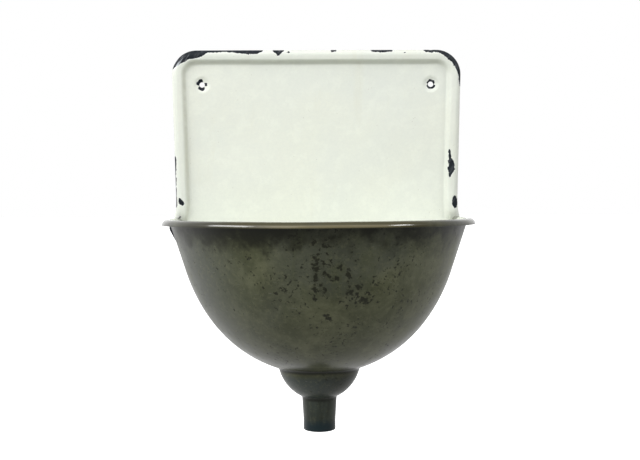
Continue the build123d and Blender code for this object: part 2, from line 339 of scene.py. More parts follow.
def hole_wear_distance(x, z, side):
    """Signed distance to the bare crescents round one screw hole."""
    radius = np.hypot(x - side * HOLE_X, z - HOLE_RISE)
    angle = np.degrees(np.arctan2(z - HOLE_RISE, x - side * HOLE_X)) % 360
    best = np.full_like(x, FAR)
    for first, last, width in HOLE_WEAR[side]:
        middle = (first + last) / 2
        off = np.abs((angle - middle + 180) % 360 - 180) / ((last - first) / 2)
        reach = HOLE_R + width * np.sqrt(np.clip(1 - off ** 4, 0, 1)) - HOLE_WEAR_IN
        best = np.minimum(best, np.where(off < 1, radius - reach, FAR))
    return np.where(best > NO_CHIP, np.maximum(radius - HOLE_R + HOLE_WEAR_IN, 0.5), best)


def set_attribute(piece, name, values):
    """Store one number per vertex for the material to read."""
    layer = piece.data.attributes.new(name, "FLOAT", "POINT")
    layer.data.foreach_set("value", np.asarray(values, np.float32))


def thicken(piece, thickness, back_slot=1):
    """Give a one-sided sheet its thickness behind the modelled face."""
    solid = piece.modifiers.new("sheet", "SOLIDIFY")
    solid.thickness = thickness * MM
    solid.offset = -1.0
    solid.use_even_offset = True
    solid.use_quality_normals = True
    solid.material_offset = back_slot
    solid.material_offset_rim = back_slot
    return solid


def fill_grid(place):
    """Stretch a grid of points between its four edges."""
    rows, cols = place.shape[0] - 1, place.shape[1] - 1
    u = np.linspace(0, 1, cols + 1)[None, :, None]
    v = np.linspace(0, 1, rows + 1)[:, None, None]
    blend = (1 - v) * place[0][None] + v * place[rows][None]
    blend = blend + (1 - u) * place[:, :1] + u * place[:, cols:]
    corners = (1 - u) * (1 - v) * place[0, 0] + u * (1 - v) * place[0, cols]
    corners = corners + (1 - u) * v * place[rows, 0] + u * v * place[rows, cols]
    place[1:rows, 1:cols] = (blend - corners)[1:rows, 1:cols]


def hole_patch(place, index, side, total):
    """Rings and faces from a square of the field's grid in to one screw hole, and the square's cells."""
    near = np.abs(place[..., 0] - side * HOLE_X) < HOLE_BLOCK
    near &= np.abs(place[..., 2] - HOLE_RISE) < HOLE_BLOCK
    i_in, j_in = np.nonzero(near)
    i0, i1, j0, j1 = i_in.min(), i_in.max(), j_in.min(), j_in.max()
    edge = [(i0, j) for j in range(j0, j1)] + [(i, j1) for i in range(i0, i1)]
    edge += [(i1, j) for j in range(j1, j0, -1)] + [(i, j0) for i in range(i1, i0, -1)]
    edge_place = np.array([place[e] for e in edge])
    angle = np.arctan2(edge_place[:, 2] - HOLE_RISE, edge_place[:, 0] - side * HOLE_X)
    rings = [
        np.stack([
            side * HOLE_X + radius * np.cos(angle),
            np.full(len(edge), FIELD_Y),
            HOLE_RISE + radius * np.sin(angle),
        ], 1)
        for radius in HOLE_RINGS
    ]
    quads = ring_patch(total, [index[e] for e in edge], rings)
    return rings, [(a, d, c, b) for a, b, c, d in quads], (slice(i0, i1), slice(j0, j1))


def make_splashback():
    """Whole back pressing: border, field, dimpled holes, ears and tongue."""
    loop = panel_loop()
    count = len(loop)
    normals = inward_normals(loop)
    bead = bead_section()
    plain = ear_section(len(bead))
    rise_keep = smoothstep(*BEAD_FADE, loop[:, 1])
    inset_keep = smoothstep(*BAND_FADE, loop[:, 1])
    points = []
    for (bead_inset, bead_h), (plain_inset, plain_h) in zip(bead, plain):
        inset = plain_inset + (bead_inset - plain_inset) * inset_keep
        height = plain_h + (bead_h - plain_h) * rise_keep
        ring = loop + normals * inset[:, None]
        points.append(np.stack([ring[:, 0], -height, ring[:, 1]], 1))
    # painted shade and grime in the valley at the foot of the raised border
    foot_ring = smoothstep(*FOOT_OUTER, bead[:, 0]) * smoothstep(*FOOT_INNER, bead[:, 0])
    foot_side = FOOT_ALL + FOOT_SIDE * np.clip(normals[:, 0], 0.0, 1.0) ** 2
    foot_side += FOOT_TOP * np.clip(-normals[:, 1], 0.0, 1.0) ** 2
    foot = np.outer(foot_ring, foot_side * inset_keep).ravel()
    faces = grid_faces(len(bead), count, close=True, flip=True)

    # Field: a grid stretched between the four runs of the band's inner edge
    inner = points[-1]
    inner_start = (len(bead) - 1) * count
    cols = 2 * TOP_STEPS
    rows = SIDE_STEPS
    corner_right = cols
    corner_left_low = 2 * cols + rows
    index = np.zeros((rows + 1, cols + 1), int)
    place = np.zeros((rows + 1, cols + 1, 3))
    for j in range(cols + 1):
        index[0, j] = j
        index[rows, j] = corner_left_low - j
    for i in range(rows + 1):
        index[i, 0] = -i % count
        index[i, cols] = corner_right + i
    place[0], place[rows] = inner[index[0]], inner[index[rows]]
    place[:, 0], place[:, cols] = inner[index[:, 0]], inner[index[:, cols]]
    fill_grid(place)
    index += inner_start
    grid_start = len(bead) * count
    index[1:rows, 1:cols] = grid_start + np.arange((rows - 1) * (cols - 1)).reshape(rows - 1, cols - 1)
    points.append(place[1:rows, 1:cols].reshape(-1, 3))

    open_cell = np.ones((rows, cols), bool)
    total = grid_start + (rows - 1) * (cols - 1)
    for side in (-1, 1):
        rings, ring_quads, cells = hole_patch(place, index, side, total)
        open_cell[cells] = False
        points += rings
        faces += ring_quads
        total += sum(len(ring) for ring in rings)
    for i in range(rows):
        for j in range(cols):
            if open_cell[i, j]:
                faces.append((index[i, j], index[i + 1, j], index[i + 1, j + 1], index[i, j + 1]))

    places = np.concatenate(points)
    x, z = places[:, 0].copy(), places[:, 2].copy()
    chip = np.min([stroke_distance(x, z, stroke) for stroke in CHIPS], axis=0)
    flat = smoothstep(*(reach - FIELD_Y for reach in WAVES_BELOW), -places[:, 1])
    away = smoothstep(*WAVES_ABOVE, z)
    places[:, 1] += undulation(x, z) * flat * away
    for side in (-1, 1):
        radius = np.hypot(x - side * HOLE_X, z - HOLE_RISE)
        places[:, 1] += dimple(radius)
        chip = np.minimum(chip, hole_wear_distance(x, z, side))
    places[:, 1] = np.minimum(places[:, 1], 0.0)
    places[:, 2] += RIM_Z
    piece = build("splashback", places, faces)
    set_attribute(piece, "chip", chip)
    set_attribute(piece, "foot", np.concatenate([foot, np.zeros(len(places) - len(foot))]))
    thicken(piece, SHEET)
    return piece


# ---- bowl
STRAIGHT_STEPS = 30
ROUND_STEPS = 216
LIP_STEPS = 16  # section points from the lip's free edge to its crest
FLOOR_EDGE_R = 62.0  # where the wall rows end and the floor patch starts
FLOOR_RING_R = 39.0  # the floor's rings turn round by here
FLOOR_RINGS = 14
SEAT_RIM_R = 36.5  # outside it the seat's edge still follows the floor
SEAT_PROFILE = (  # radius, share of the way down to the strainer's seat
    (38.0, 0.02), (37.0, 0.05), (36.3, 0.16), (35.8, 0.34), (35.5, 0.6),
    (RECESS_R, 0.85), (35.2, 0.97), (34.6, 1.0), (32.0, 1.0), (SEAT_HOLE_R, 1.0),
)
WOBBLE_IN, WOBBLE_DOWN = 0.8, 0.5  # shares of the unevenness that move the rim
WOBBLE_LOW = -120.0  # height under the crest where the unevenness has died out
WOBBLE_BACK = 60.0  # distance off the panel over which it grows
STAIN_EDGE = (4.0, -1.0)  # distances from a stroke's edge between which a stain builds up
STAIN_FRONT = (40.0, 80.0)  # distances before the half round's axis between which stains appear
CUP_JOINT_SHADE = (9.0, 1.0)  # distances from the cup's joint between which painted shade builds up
CUP_JOINT_SHADE_DROP = (150.0, 160.0)  # drops between which it appears
PAST_FLOOR = 300.0  # distance past the crest given to the whole floor
SEAM_COVER = 0.6  # the seams' roots are sunk this far
INNER_SEAM_R, INNER_SEAM_GAIN = 2.2, 4.8  # radius of the inner fillet at the lip, and how much it gains
INNER_SEAM_GROWTH = (3.0, 25.0)  # drops between which it grows
OUTER_SEAM_R = 2.6
OUTER_SEAM_TOP = 2.4
SEAM_TOP = 9.5  # the inner seam starts this far below the crest
CUP_SEAM_R = 43.0  # radius of the joint between the cup and the bowl


def wall_radius(drop, inset=SHEET):
    """Radius of the bowl at a drop below the crest: straight wall, shoulder arc, floor arc."""
    if drop < (SHOULDER_R - inset) * math.sin(LEAN):
        return (SHOULDER_R - inset) / math.cos(LEAN) - SHOULDER_IN - drop * math.tan(LEAN)
    if drop < (SHOULDER_R - inset) * math.sin(FLOOR_ANGLE):
        return math.sqrt((SHOULDER_R - inset) ** 2 - drop ** 2) - SHOULDER_IN
    return math.sqrt((FLOOR_R - inset) ** 2 - (drop - FLOOR_CENTRE) ** 2)


def floor_drop(radius, inset=SHEET):
    """Drop of the bowl's floor at a radius, both arcs."""
    radius = np.asarray(radius, float)
    knee = (FLOOR_R - inset) * math.cos(FLOOR_ANGLE)
    inner = FLOOR_CENTRE + np.sqrt(np.maximum((FLOOR_R - inset) ** 2 - radius ** 2, 0))
    outer = np.sqrt(np.maximum((SHOULDER_R - inset) ** 2 - (radius + SHOULDER_IN) ** 2, 0))
    return np.where(radius < knee, inner, outer)


def plan_radius(x, y):
    """Distance from the half round's axis, or from the centre plane behind it."""
    return np.where(y < AXIS_Y, np.hypot(x, y - AXIS_Y), np.abs(x))


def lip_section():
    """(radius, drop) points from the lip's free edge over the crest and down the inner wall."""
    lip = [(r, -z) for r, z in arc(LIP_CENTRE, -LIP_R, LIP_R, 0, 90, LIP_STEPS)]
    turn_r = (LIP_CENTRE - wall_radius(0.0)) / (math.cos(LEAN) - math.tan(LEAN) * (1 - math.sin(LEAN)))
    turn = arc(LIP_CENTRE, -turn_r, turn_r, 90, 180 - math.degrees(LEAN), 10)[1:]
    crest = [(r, -z) for r, z in turn]
    start = crest[-1][1]
    stop = float(floor_drop(FLOOR_EDGE_R))
    depth = np.linspace(0, 1, 64)[1:]
    drops = start + (stop - start) * np.sin(depth * math.pi / 2) ** 0.9
    wall = [(wall_radius(d), d) for d in drops]
    return np.array(lip + crest + wall)


def plan_path(radius):
    """Top view of one section point's run: back left, round the front, back right."""
    straight = np.linspace(FIELD_Y, AXIS_Y, STRAIGHT_STEPS + 1)[:-1]
    turn = np.linspace(math.pi, 2 * math.pi, ROUND_STEPS + 1)
    left = np.stack([np.full(len(straight), -radius), straight], 1)
    front = np.stack([radius * np.cos(turn), AXIS_Y + radius * np.sin(turn)], 1)
    right = left[::-1] * np.array([-1.0, 1.0])
    return np.concatenate([left, front, right])


def hand_wobble(x, y):
    """Slight unevenness of the pressed bowl along its rim, in millimetres."""
    angle = np.arctan2(y - AXIS_Y, x)
    return 0.30 * np.sin(3 * angle + 0.4) + 0.18 * np.sin(7 * angle + 1.3)


def outlet_rings(edge):
    """Rings from a closed edge on the floor to the circle round the outlet, and their angles."""
    angle = np.arctan2(edge[:, 1] - OUTLET_Y, edge[:, 0])
    circle = np.stack([FLOOR_RING_R * np.cos(angle), OUTLET_Y + FLOOR_RING_R * np.sin(angle)], 1)
    rings = []
    for t in np.linspace(0, 1, FLOOR_RINGS + 1)[1:]:
        flat = edge[:, :2] * (1 - t) + circle * t
        rings.append(np.column_stack([flat, -floor_drop(plan_radius(flat[:, 0], flat[:, 1]))]))
    return rings, angle


# Old stains on the front of the bowl: strokes of (x, drop below the lip, radius)
STAINS = (
    ((-37.0, 13.0, 2.0), (-31.0, 15.0, 3.2), (-24.0, 15.5, 2.6)),
    ((-66.0, 19.0, 1.6), (-58.0, 21.0, 2.2), (-52.0, 19.5, 1.6)),
    ((-36.0, 24.0, 1.2), (-31.0, 27.0, 1.9), (-26.0, 25.0, 1.0)),
    ((-6.0, 36.0, 1.5), (-3.0, 44.0, 1.8), (-4.5, 53.0, 1.1)),
    ((-5.0, 56.0, 1.3), (-4.0, 66.0, 2.0), (-5.0, 76.0, 1.6)),
    ((2.0, 44.0, 1.5), (9.0, 41.5, 2.4), (17.0, 43.0, 1.8), (25.0, 48.0, 2.0), (29.0, 54.0, 1.4)),
    ((3.0, 52.0, 1.6), (10.0, 54.0, 1.2), (19.0, 57.0, 1.6)),
    ((27.0, 60.0, 1.3), (28.0, 72.0, 1.7), (26.0, 84.0, 1.5)),
    ((33.0, 26.0, 1.2), (30.0, 33.0, 1.8), (34.0, 38.0, 1.0)),
    ((36.0, 66.0, 1.4), (37.0, 72.0, 1.4)),
    ((36.0, 79.0, 1.6), (46.0, 81.0, 1.9), (49.0, 76.0, 1.0)),
    ((13.0, 78.0, 1.3), (20.0, 80.0, 1.6)),
    ((6.0, 94.0, 1.6), (10.0, 97.0, 1.8)),
    ((-1.0, 62.0, 1.0), (4.0, 68.0, 1.3)),
    ((-10.0, 20.0, 1.2), (-2.0, 22.0, 2.0), (8.0, 20.0, 1.6), (18.0, 22.0, 1.3)),
    ((-75.0, 30.0, 1.0), (-72.0, 36.0, 1.7)),
)


def make_basin():
    """Pressed bowl: lip, wall, floor, recessed strainer seat."""
    section = lip_section()
    rows = []
    for radius, drop in section:
        plan = plan_path(radius)
        rows.append(np.column_stack([plan, np.full(len(plan), -drop)]))
    cols = len(rows[0])
    faces = grid_faces(len(rows), cols)
    points = list(rows)
    total = len(rows) * cols
    run = np.concatenate([[0], np.cumsum(np.hypot(*np.diff(section, axis=0).T))])
    along = [np.full(cols, r - run[LIP_STEPS - 1]) for r in run]

    # The floor patch closes against the panel and runs in to the strainer seat
    last = rows[-1]
    back_x = np.linspace(FLOOR_EDGE_R, -FLOOR_EDGE_R, 42)[1:-1]
    back_z = -floor_drop(np.abs(back_x))
    back = np.column_stack([back_x, np.full(len(back_x), FIELD_Y), back_z])
    points.append(back)
    edge_index = list(range(total - cols, total)) + list(range(total, total + len(back)))
    total += len(back)
    edge = np.concatenate([last, back])
    rings, angle = outlet_rings(edge)
    around = np.stack([np.cos(angle), np.sin(angle)], 1)
    brim_z = rings[-1][:, 2]
    for radius, share in SEAT_PROFILE:
        flat = around * radius + np.array([0.0, OUTLET_Y])
        floor_z = -floor_drop(plan_radius(flat[:, 0], flat[:, 1]))
        base = floor_z if radius > SEAT_RIM_R else brim_z
        z = base * (1 - share) - SEAT_DROP * share
        rings.append(np.column_stack([flat, z]))
    points += rings
    faces += ring_patch(total, edge_index, rings)

    places = np.concatenate(points)
    wobble = hand_wobble(places[:, 0], places[:, 1])
    fade = smoothstep(WOBBLE_LOW, 0.0, places[:, 2])
    fade *= smoothstep(FIELD_Y, FIELD_Y - WOBBLE_BACK, places[:, 1])
    lip_x, lip_y = places[:, 0], places[:, 1] - AXIS_Y
    out = np.stack([lip_x, np.minimum(lip_y, 0)], 1)
    out /= np.maximum(np.linalg.norm(out, axis=1), 1e-6)[:, None]
    places[:, :2] -= out * (np.abs(wobble) * fade)[:, None] * WOBBLE_IN
    places[:, 2] -= np.abs(wobble) * fade * WOBBLE_DOWN
    places[:, 2] += RIM_Z
    across = np.concatenate(along + [np.full(len(places) - len(rows) * cols, PAST_FLOOR)])
    piece = build("basin", places, faces)
    drop = RIM_Z - places[:, 2]
    stain = np.min([stroke_distance(places[:, 0], drop, stroke) for stroke in STAINS], axis=0)
    front = smoothstep(*(AXIS_Y - reach for reach in STAIN_FRONT), places[:, 1])
    from_cup = np.hypot(places[:, 0], places[:, 1] - OUTLET_Y) - CUP_SEAM_R
    under = smoothstep(*CUP_JOINT_SHADE_DROP, drop)
    set_attribute(piece, "past_crest", across)
    set_attribute(piece, "stain", smoothstep(*STAIN_EDGE, stain) * front)
    # painted shade on the bowl's underside round the cup's joint
    set_attribute(piece, "joint_shade", smoothstep(*CUP_JOINT_SHADE, from_cup) * under)
    thicken(piece, SHEET)
    return piece


def section_normals(section, outward):
    """Unit normals of the section, to the inside of the bowl or to its outside."""
    tangent = np.gradient(section, axis=0)
    tangent /= np.linalg.norm(tangent, axis=1)[:, None]
    normal = np.stack([tangent[:, 1], -tangent[:, 0]], 1)
    return normal if outward else -normal


def make_seam(name, section, outward, radii):
    """Run of weld in the corner between the bowl and the panel, both sides in one strip."""
    normals = section_normals(section, outward)
    both = np.concatenate([section, (section * np.array([-1.0, 1.0]))[::-1][1:]])
    both_n = np.concatenate([normals, (normals * np.array([-1.0, 1.0]))[::-1][1:]])
    both_r = np.concatenate([radii, radii[::-1][1:]])
    rings = []
    turn = np.radians(np.linspace(180, 270, 7))
    for (x, drop), (nx, nd), radius in zip(both, both_n, both_r):
        ring = []
        for a in turn:
            off = radius * (1 + math.cos(a))
            fwd = radius * (1 + math.sin(a))
            ring.append((x + nx * off, FIELD_Y - fwd, RIM_Z - drop - nd * off))
        ring.append((x - nx * SEAM_COVER, FIELD_Y + SEAM_COVER, RIM_Z - drop + nd * SEAM_COVER))
        rings.append(ring)
    per = len(rings[0])
    faces = grid_faces(len(rings), per, close=True)
    faces.append(tuple(range(per))[::-1])
    faces.append(tuple((len(rings) - 1) * per + k for k in range(per)))
    piece = build(name, np.concatenate([np.array(r) for r in rings]), faces)
    set_attribute(piece, "chip", np.full(len(rings) * per, NO_CHIP))
    return face_outwards(piece)


def seam_section(wall, inset):
    """Wall points of one face of the bowl, carried on over its floor to the centre plane."""
    radii = np.linspace(FLOOR_EDGE_R, 0.0, 30)[1:]
    return np.concatenate([wall, np.column_stack([radii, floor_drop(radii, inset)])])


def make_inner_seam():
    """Wide fillet inside the bowl, growing from the lip downwards."""
    section = lip_section()
    wall = section[(section[:, 1] > SEAM_TOP) & (section[:, 0] < LIP_CENTRE)]
    section = seam_section(wall, SHEET)
    radii = INNER_SEAM_R + INNER_SEAM_GAIN * smoothstep(*INNER_SEAM_GROWTH, section[:, 1])
    return make_seam("inner_seam", section, False, radii)


def make_outer_seam():
    """Narrow bead of braze round the outside of the bowl."""
    drops = np.linspace(OUTER_SEAM_TOP, float(floor_drop(FLOOR_EDGE_R, 0.0)), 60)
    section = seam_section([(wall_radius(drop, 0.0), drop) for drop in drops], 0.0)
    return make_seam("outer_seam", section, True, np.full(len(section), OUTER_SEAM_R))


def face_outwards(piece):
    """Point every face of a closed piece outwards."""
    mesh = bmesh.new()
    mesh.from_mesh(piece.data)
    bmesh.ops.recalc_face_normals(mesh, faces=mesh.faces[:])
    mesh.to_mesh(piece.data)
    mesh.free()
    return piece


def lathe_closed(name, profile, steps=96):
    """Turned piece whose (radius, height) profile runs from axis to axis or closes on itself."""
    angles = np.linspace(0, 2 * math.pi, steps, endpoint=False)
    points, rows = [], []
    for radius, height in profile:
        if radius < 1e-6:
            rows.append([len(points)] * steps)
            points.append((0.0, OUTLET_Y, height))
            continue
        rows.append(list(range(len(points), len(points) + steps)))
        points += [(*about_outlet(radius, a), height) for a in angles]
    if profile[0][0] > 1e-6:
        rows.append(rows[0])
    faces = [face for pair in zip(rows[:-1], rows[1:]) for face in ring_faces(*pair)]
    return face_outwards(build(name, points, faces))


def sharpen(piece, angle):
    """Keep creases steeper than this angle crisp under smooth shading."""
    piece.data.set_sharp_from_angle(angle=math.radians(angle))
    return piece


# ---- cup and spigot under the bowl
CUP_STEPS = 120
CUP_SEAM = 3.0  # width of the brazed seam under the bowl
CUP_SEAM_DROP = 0.8  # how far down the cup the seam reaches, as a share of its width
CUP_SHEET = 1.3
CUP_IN_ROOT = 0.6  # the cup's foot ends this far inside the spigot's root


def cup_point(polar):
    """(radius, height above the crest) on the cup's sphere, at an angle from its lowest point."""
    return CUP_R * math.sin(polar), -CUP_DROP - CUP_R * math.cos(polar)


def bowl_underside(radius, angle):
    """Height of the bowl's outer face above the crest, round the outlet."""
    return -float(floor_drop(plan_radius(*about_outlet(radius, angle)), 0.0))


def make_trap_cup():
    """Round cup brazed under the bowl, its upper edge following the bowl's underside."""
    angles = np.linspace(0, 2 * math.pi, CUP_STEPS, endpoint=False)
    foot = math.asin((SPIGOT_ROOT_R - CUP_IN_ROOT) / CUP_R)
    columns = []
    for a in angles:
        low, high = foot, math.radians(95)
        for _ in range(30):
            middle = (low + high) / 2
            r, height = cup_point(middle)
            if height < bowl_underside(r, a):
                low = middle
            else:
                high = middle
        top = low - CUP_SEAM * CUP_SEAM_DROP / CUP_R
        column = [cup_point(polar) for polar in np.linspace(foot, top, 34)]
        corner = cup_point(low)
        flare = (corner[0] + CUP_SEAM, bowl_underside(corner[0] + CUP_SEAM, a) + 0.1)
        end = column[-1]
        for t in np.linspace(0, 1, 7)[1:]:
            column.append(tuple(
                (1 - t) ** 2 * end[k] + 2 * (1 - t) * t * corner[k] + t * t * flare[k]
                for k in (0, 1)
            ))
        columns.append(column)
    radius, height = np.array(columns).T
    places = np.stack([radius * np.cos(angles), OUTLET_Y + radius * np.sin(angles), height + RIM_Z], 2)
    piece = build("trap_cup", places.reshape(-1, 3), grid_faces(len(places), CUP_STEPS, close=True))
    along = np.linspace(0, 1, len(places))
    # painted shade at the cup's joints with the bowl and with the spigot
    joint_shade_share = np.maximum(smoothstep(0.74, 0.90, along), 0.7 * smoothstep(0.10, 0.0, along))
    set_attribute(piece, "joint_shade", np.repeat(joint_shade_share, CUP_STEPS))
    thicken(piece, CUP_SHEET, back_slot=0)
    return piece


def make_spigot():
    """Tapered tail of the cup, with a small brazed root and a worn round end."""
    root_z = -CUP_DROP - math.sqrt(CUP_R ** 2 - (SPIGOT_ROOT_R + 1.6) ** 2)
    end = -SPIGOT_END_DROP
    outer = bezier(
        (SPIGOT_ROOT_R + 1.9, root_z + 0.5),
        (SPIGOT_ROOT_R + 0.2, root_z - 0.7),
        (SPIGOT_ROOT_R - 0.2, root_z - 1.6),
        (SPIGOT_ROOT_R - 0.35, root_z - 4.5),
        8,
    )
    taper = [(SPIGOT_R + (outer[-1][0] - SPIGOT_R) * (1 - t), z) for t, z in zip(
        np.linspace(0, 1, 12)[1:],
        np.linspace(outer[-1][1], -SPIGOT_TAPER_DROP, 12)[1:],
    )]
    barrel = [(SPIGOT_R, z) for z in np.linspace(-SPIGOT_TAPER_DROP, end + 0.9, 8)[1:]]
    nose = arc(SPIGOT_R - 0.9, end + 0.9, 0.9, 0, -90, 6)[1:]
    nose += [(BORE_R + 0.35, end), (BORE_R + 0.05, end + 0.3)]
    inner = [(BORE_R, z) for z in np.linspace(end + 0.8, -SPIGOT_ROOT_DROP + 1.2, 14)]
    cap = [(BORE_R + 1.0, -SPIGOT_ROOT_DROP + 1.6), (SPIGOT_ROOT_R, -SPIGOT_ROOT_DROP + 2.2)]
    profile = [(r, z + RIM_Z) for r, z in outer + taper + barrel + nose + inner + cap]
    piece = lathe_closed("spigot", profile)
    height = np.array([vertex.co.z for vertex in piece.data.vertices]) / MM
    # painted shade at the top of the spigot, under the cup
    set_attribute(piece, "joint_shade", smoothstep(RIM_Z + root_z - 6.5, RIM_Z + root_z - 2.0, height))
    return piece


def make_overflow_pipe():
    """Standpipe of the bell trap, its top edge rolled."""
    low, high = PIPE_LOW[2], PIPE_HIGH[2]
    bore = BORE_R - 1.5
    lip = arc(BORE_R - 0.75, high - 0.75, 0.75, 0, 180, 9)
    outer = [(BORE_R, low), (BORE_R, low + 3)] + [(BORE_R, z) for z in np.linspace(low + 6, high - 2, 8)]
    inner = [(bore, z) for z in np.linspace(high - 2, low, 8)]
    return sharpen(lathe_closed("overflow_pipe", outer + lip + inner), 50)


# ---- lift-out strainer
PLATE_HOLES = 18
PLATE_HOLE_R = 2.5
PLATE_HOLE_PCR = 26.2
SECTOR_STEPS = 6  # points on each side of one hole's patch
PATCH_HALF = 4.2  # half the patch's width along a radius
PLATE_RINGS_IN = (3.4, 7.0, 10.6, 14.4, 18.2, PLATE_HOLE_PCR - PATCH_HALF)
PLATE_RINGS_OUT = (PLATE_HOLE_PCR + PATCH_HALF, 31.8, 33.0, 33.9, 34.5, 34.8)
PLATE_HOLE_RINGS = (3.6, 3.2, 2.9, 2.7, 2.56, PLATE_HOLE_R)
NO_HOLE = 9.0  # stands for no hole near


def plate_sheet(height_of, flip):
    """One face of the strainer plate as points and faces, with its ring of holes."""
    points, faces, lookup = [], [], {}

    def point(x, y, z):
        key = (round(x, 4), round(y, 4), round(z, 4))
        if key not in lookup:
            lookup[key] = len(points)
            points.append((x, y, z))
        return lookup[key]

    def at(radius, angle):
        return point(*about_outlet(radius, angle), height_of(radius, NO_HOLE))

    def add(*quad):
        face = tuple(dict.fromkeys(quad))
        if len(face) > 2:
            faces.append(face[::-1] if flip else face)

    half = math.pi / PLATE_HOLES
    r_in, r_out = PLATE_RINGS_IN[-1], PLATE_RINGS_OUT[0]
    holes = []
    for sector in range(PLATE_HOLES):
        middle = 2 * half * sector
        turn = middle + np.linspace(-half, half, SECTOR_STEPS + 1)

        for radii in (PLATE_RINGS_IN, PLATE_RINGS_OUT):
            for r0, r1 in zip(radii[:-1], radii[1:]):
                for a0, a1 in zip(turn[:-1], turn[1:]):
                    add(at(r0, a0), at(r1, a0), at(r1, a1), at(r0, a1))
        span = np.linspace(r_in, r_out, SECTOR_STEPS + 1)
        edge = [(r_out, a) for a in turn[:-1]] + [(r, turn[-1]) for r in span[::-1][:-1]]
        edge += [(r_in, a) for a in turn[::-1][:-1]] + [(r, turn[0]) for r in span[:-1]]
        cx, cy = PLATE_HOLE_PCR * math.cos(middle), PLATE_HOLE_PCR * math.sin(middle)
        previous = [at(r, a) for r, a in edge]
        flat = [(r * math.cos(a), r * math.sin(a)) for r, a in edge]
        angle = [math.atan2(y - cy, x - cx) for x, y in flat]
        for radius in PLATE_HOLE_RINGS:
            current = []
            for a in angle:
                x, y = cx + radius * math.cos(a), cy + radius * math.sin(a)
                current.append(point(x, y + OUTLET_Y, height_of(math.hypot(x, y), radius)))
            for face in ring_faces(previous, current):
                add(*face)
            previous = current
        holes.append(previous)
    count = PLATE_HOLES * SECTOR_STEPS
    all_turn = [2 * half * (k / SECTOR_STEPS) - half for k in range(count)]
    inner, outer = ([at(radius, a) for a in all_turn] for radius in (PLATE_RINGS_IN[0], PLATE_RINGS_OUT[-1]))
    return points, faces, holes, inner, outer


def make_strainer():
    """Slightly dished perforated plate with rounded hole edges."""
    top_z, low_z = PLATE_HIGH[2], PLATE_LOW[2]

    def top(radius, to_hole):
        edge = 0.7 * float(smoothstep(33.2, 34.8, radius))
        groove = 0.25 * math.exp(-((radius - 32.2) / 0.5) ** 2)
        dish = 0.35 * float(smoothstep(30.0, 8.0, radius))
        return top_z - edge - groove - dish - 0.45 * float(smoothstep(3.3, 2.5, to_hole))

    def low(radius, to_hole):
        return low_z + 0.2 * float(smoothstep(3.0, 2.5, to_hole))

    top_points, top_faces, top_holes, top_in, top_out = plate_sheet(top, False)
    low_points, low_faces, low_holes, low_in, low_out = plate_sheet(low, True)
    shift = len(top_points)
    faces = top_faces + [tuple(i + shift for i in f) for f in low_faces]
    pairs = list(zip(top_holes, low_holes)) + [(top_in, low_in), (top_out, low_out)]
    for upper, lower in pairs:
        faces += ring_faces(upper, [i + shift for i in lower])
    piece = build("strainer_disc", np.array(top_points + low_points), faces)
    return sharpen(face_outwards(piece), 40)


def make_bell():
    """Bell under the plate, its mouth slightly flared."""
    high, low = BELL_HIGH[2], BELL_LOW[2]
    r = BELL_HIGH[0]
    wall = 1.5
    outer = [(2.7, high), (r - 2.4, high)] + arc(r - 2.4, high - 1.8, 1.8, 90, 0, 7)[1:]
    outer += [(r - 0.6, high - 5.0), (r - 0.4, low + 4.0), (r - 0.1, low + 1.6)]
    lip = arc(r - 0.75, low + 0.75, 0.75, 10, -190, 9)
    inner = [(r - wall - 0.3, low + 3.0), (r - wall - 0.6, high - 5.0)]
    inner += arc(r - 3.3, high - 2.7, 1.2, 0, 90, 5)
    return lathe_closed("bell", outer + lip + inner + [(2.7, high - wall)])


def make_knob():
    """Turned pull knob with collar, neck and shank."""
    plate = PLATE_HIGH[2]
    top = STUD_HIGH[2]
    ball = 7.0
    centre = top - ball
    shank = [(0.0, STUD_LOW[2]), (2.1, STUD_LOW[2]), (2.5, STUD_LOW[2] + 0.4), (2.5, plate - 0.3)]
    collar = [(5.0, plate - 0.2)] + [(4.6 + x, z) for x, z in arc(0.4, plate + 0.7, 0.8, -60, 80, 7)]
    neck = bezier((4.0, plate + 1.9), (2.9, plate + 2.2), (2.5, plate + 3.6), (2.7, centre - 6.4), 8)
    head = arc(0.0, centre, ball, -66, 90, 26)
    flat = [(r, min(z, top - 0.35)) for r, z in head]
    return lathe_closed("knob", shank + collar + neck + flat[:-1] + [(0.0, top - 0.35)], steps=64)


def make_nut():
    """Hexagon nut with chamfered corners."""
    low, high = NUT_LOW[2], NUT_HIGH[2]
    flat = 4.0
    points, rows = [], []
    per = 12
    spec = (
        (2.5, low, 0), (3.2, low, 0), (3.9, low, 0), (4.5, low + 0.3, 1),
        (4.5, high - 0.3, 1), (3.9, high, 0), (3.2, high, 0), (2.5, high, 0),
    )
    for radius, z, clip in spec:
        row = []
        for k in range(per * 6):
            a = 2 * math.pi * k / (per * 6)
            wedge = (a % (math.pi / 3)) - math.pi / 6
            reach = min(radius + 0.2 * clip, flat / math.cos(wedge)) if clip else radius
            row.append(len(points))
            points.append((*about_outlet(reach, a), z))
        rows.append(row)
    rows.append(rows[0])
    faces = [face for pair in zip(rows[:-1], rows[1:]) for face in ring_faces(*pair)]
    return sharpen(face_outwards(build("nut", points, faces)), 28)


# ---- materials
# Colours
WHITE_COOL = (0.735, 0.765, 0.700)
WHITE_WARM = (0.800, 0.815, 0.700)
